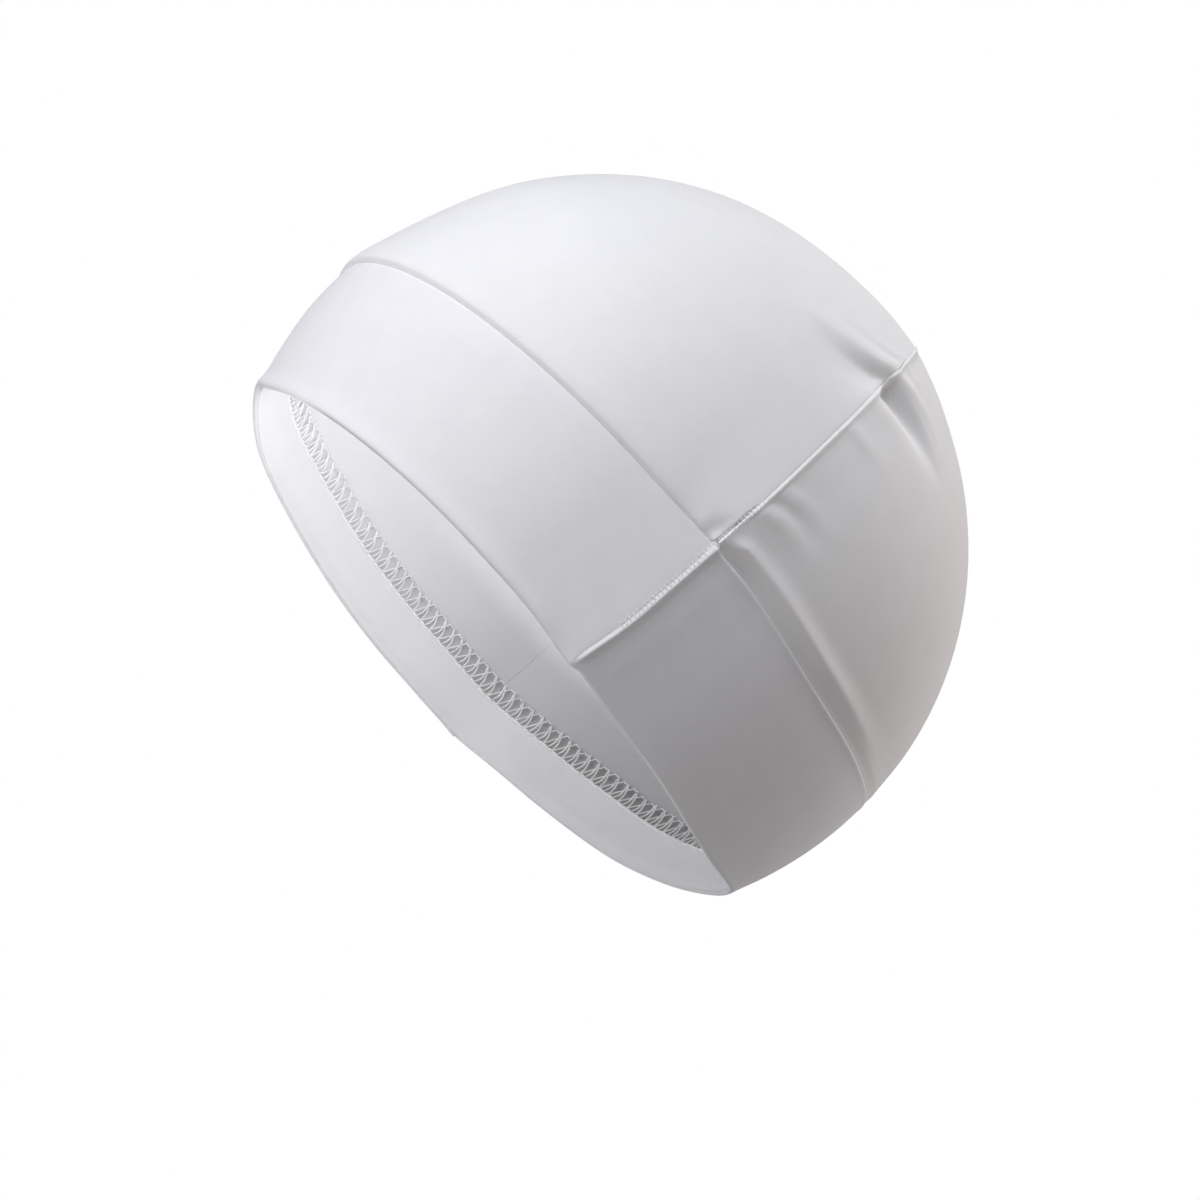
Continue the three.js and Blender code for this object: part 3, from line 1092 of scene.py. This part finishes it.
ladder_unit = stitch_unit(
    "ladder_unit",
    [
        (
            LADDER_STRAND,
            (
                (-2.0, -0.3, 0.05),
                (-1.0, 1.9, 0.0),
                (0.0, 4.1, -0.15),
                (0.7, 5.6, -0.4),
                (1.3, LADDER_HEIGHT, LADDER_FAR),
            ),
        ),
        (
            LADDER_STRAND,
            (
                (-0.3, -0.3, 0.05),
                (0.35, 2.0, 0.1),
                (0.15, 4.1, 0.15),
                (-0.5, 5.6, -0.2),
                (-0.6, LADDER_HEIGHT, LADDER_FAR),
            ),
        ),
        (
            LADDER_STRAND,
            (
                (1.4, -0.3, 0.05),
                (1.5, 1.7, 0.05),
                (1.1, 3.4, 0.0),
                (0.2, 5.2, -0.3),
                (-0.5, LADDER_HEIGHT - 0.4, LADDER_FAR + 0.1),
            ),
        ),
        (
            LADDER_STRAND,
            (
                (1.2, LADDER_HEIGHT - 0.2, LADDER_FAR + 0.1),
                (2.1, LADDER_HEIGHT - 0.5, LADDER_FAR + 0.25),
                (3.0, LADDER_HEIGHT - 0.1, LADDER_FAR + 0.1),
            ),
        ),
        (
            LOOPER_STRAND,
            (
                (-LADDER_PITCH / 2 - 0.1, -0.3, -0.15),
                (-LADDER_PITCH / 4, -0.1, 0.0),
                (0.0, -0.4, -0.15),
                (LADDER_PITCH / 4, -0.1, 0.0),
                (LADDER_PITCH / 2 + 0.1, -0.3, -0.15),
            ),
        ),
    ],
)
ladder_stitches = stitches(
    "ladder_stitches",
    stitch_path("facing_edge", [facing_edge()]),
    ladder_unit,
    LADDER_PITCH,
    LADDER_UNEVENNESS,
    LADDER_SEED,
)
seam_unit = stitch_unit(
    "seam_unit",
    [
        (
            SEAM_STITCH_STRAND,
            ((-0.2, -0.7, 0.3), (-0.05, -0.2, 0.2), (0.1, 0.3, 0.02), (0.2, 0.8, -0.12)),
        )
    ],
)
seam_stitches = stitches(
    "seam_stitches",
    stitch_path("open_seam", [open_seam(1), open_seam(-1)]),
    seam_unit,
    SEAM_STITCH_PITCH,
    SEAM_STITCH_UNEVENNESS,
    SEAM_STITCH_SEED,
)

# Cloth pieces

front_crown = crown_panel("front_crown_cloth", -1)
back_crown = crown_panel("back_crown_cloth", 1)
front_band = band_half("front_band_cloth", -1)
back_band = band_half("back_band_cloth", 1)
facing = facing_ring("facing_cloth")
for piece in (front_crown, back_crown):
    piece.data.materials.append(CROWN_KNIT)
for piece in (front_band, back_band, facing):
    piece.data.materials.append(BAND_KNIT)

# Frame calls

for piece, node, slot in (
    (front_crown, "front_crown_panel", "crown_knit"),
    (back_crown, "back_crown_panel", "crown_knit"),
    (front_band, "front_band", "band_knit"),
    (back_band, "back_band", "band_knit"),
    (facing, "inner_facing", "facing_knit"),
):
    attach(piece, "root")
    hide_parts(node)

for piece in (ladder_stitches, seam_stitches):
    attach(piece, "root")

# Studio

CAMERA_TURN = math.radians(3)
CAMERA_RAISE = math.radians(-16.8)
CAMERA_ROLL = math.radians(48)
CAMERA_DISTANCE = 1.0
AIM = Vector((0, 10.71, -10.0 - ORIGIN_HEIGHT)) * MM
FOCAL_LENGTH = 114.586

forward = Vector(
    (
        -math.cos(CAMERA_RAISE) * math.cos(CAMERA_TURN),
        math.cos(CAMERA_RAISE) * math.sin(CAMERA_TURN),
        -math.sin(CAMERA_RAISE),
    )
)
level = Vector((math.sin(CAMERA_TURN), math.cos(CAMERA_TURN), 0))
upward = level.cross(forward)
right = math.cos(CAMERA_ROLL) * level + math.sin(CAMERA_ROLL) * upward
up = -math.sin(CAMERA_ROLL) * level + math.cos(CAMERA_ROLL) * upward
camera_data = bpy.data.cameras.new("camera")
camera_data.lens = FOCAL_LENGTH
camera_data.sensor_width = 36
camera = bpy.data.objects.new("camera", camera_data)
bpy.context.scene.collection.objects.link(camera)
turned = Matrix((right, up, -forward)).transposed()
camera.matrix_world = Matrix.Translation(AIM - forward * CAMERA_DISTANCE) @ turned.to_4x4()
bpy.context.scene.camera = camera


def add_lamp(name, place, direction, size, power, tint=(1, 1, 1)):
    """A square lamp that shines against the given direction."""
    light = bpy.data.lights.new(name, "AREA")
    light.color = tint
    light.size = size
    light.energy = power
    lamp = bpy.data.objects.new(name, light)
    bpy.context.scene.collection.objects.link(lamp)
    lamp.location = place
    lamp.rotation_mode = "QUATERNION"
    lamp.rotation_quaternion = direction.to_track_quat("Z", "Y")
    return lamp


# Lights by their direction from the aim (right, up and towards the camera), with their distance
# and side in metres, their watts and their tint. Watts and tints were fitted to the photo's tones,
# apart from the low lamp's, which were chosen.
LIGHTS = (
    ("key", (-0.235, 0.875, 0.423), 1.3, 0.9, 9.9, (1.02, 0.99, 1.0)),
    ("top", (0, 0.906, 0.423), 1.3, 0.9, 5.6, (0.93, 1.01, 1.07)),
    ("front_fill", (0, 0.766, 0.643), 1.3, 0.9, 0.92, (0.93, 0.95, 1.08)),
    ("camera_fill", (0.342, 0, 0.94), 1.3, 0.9, 2.06, (1.06, 1.0, 0.97)),
    ("edge", (0.906, 0, -0.423), 1.3, 0.9, 11.6, (1.05, 0.99, 0.96)),
    ("low", (-0.94, -0.18, 0.28), 0.8, 0.9, 1.4, (1, 1, 1)),
)
for name, toward, distance, size, power, tint in LIGHTS:
    direction = (right * toward[0] + up * toward[1] - forward * toward[2]).normalized()
    add_lamp(name, AIM + direction * distance, direction, size, power, tint)

# Small lamps, two inside the cap and two below its opening, stand for the light that comes through
# the thin cloth.
INSIDE_LIGHTS = (
    ("inside_low", (0, -55, -150), 0.0125),
    ("inside_middle", (0, -60, -95), 0.011),
    ("inside_crown", (0, -30, -60), 0.0155),
    ("inside_near", (30, -50, -175), 0.0188),
)
INSIDE_AIM = Vector((-70, -45, -125)) * MM
INSIDE_LIGHT_SIZE = 0.05
for name, place, power in INSIDE_LIGHTS:
    place = Vector(place) * MM
    lamp = add_lamp(name, place, place - INSIDE_AIM, INSIDE_LIGHT_SIZE, power)
    lamp.visible_camera = False

world = bpy.data.worlds.new("studio")
bpy.context.scene.world = world
world.use_nodes = True
tree = world.node_tree
background = tree.nodes["Background"]
background.inputs["Strength"].default_value = 0.25
seen = add_node(tree, "ShaderNodeBackground", values={"Color": (1, 1, 1, 1), "Strength": 1.0})
path = add_node(tree, "ShaderNodeLightPath")
mix = add_node(
    tree,
    "ShaderNodeMixShader",
    links={0: path.outputs["Is Camera Ray"], 1: background.outputs[0], 2: seen.outputs[0]},
)
tree.links.new(mix.outputs[0], tree.nodes["World Output"].inputs["Surface"])
bpy.context.scene.view_settings.view_transform = "Standard"

FLOOR_HEIGHT = -1.0
FLOOR_HALF = 6.0
floor_mesh = bpy.data.meshes.new("floor")
floor_mesh.from_pydata(
    [
        (x * FLOOR_HALF, y * FLOOR_HALF, FLOOR_HEIGHT)
        for x, y in ((-1, -1), (1, -1), (1, 1), (-1, 1))
    ],
    [],
    [(0, 1, 2, 3)],
)
floor = bpy.data.objects.new("floor", floor_mesh)
bpy.context.scene.collection.objects.link(floor)
# Matt studio paint: an even pale grey without gloss or grain.
floor_paint = bpy.data.materials.new("studio_floor_paint")
floor_paint.use_nodes = True
floor_shader = floor_paint.node_tree.nodes["Principled BSDF"]
floor_shader.inputs["Base Color"].default_value = linear("#F2F2F2")
floor_mesh.materials.append(floor_paint)
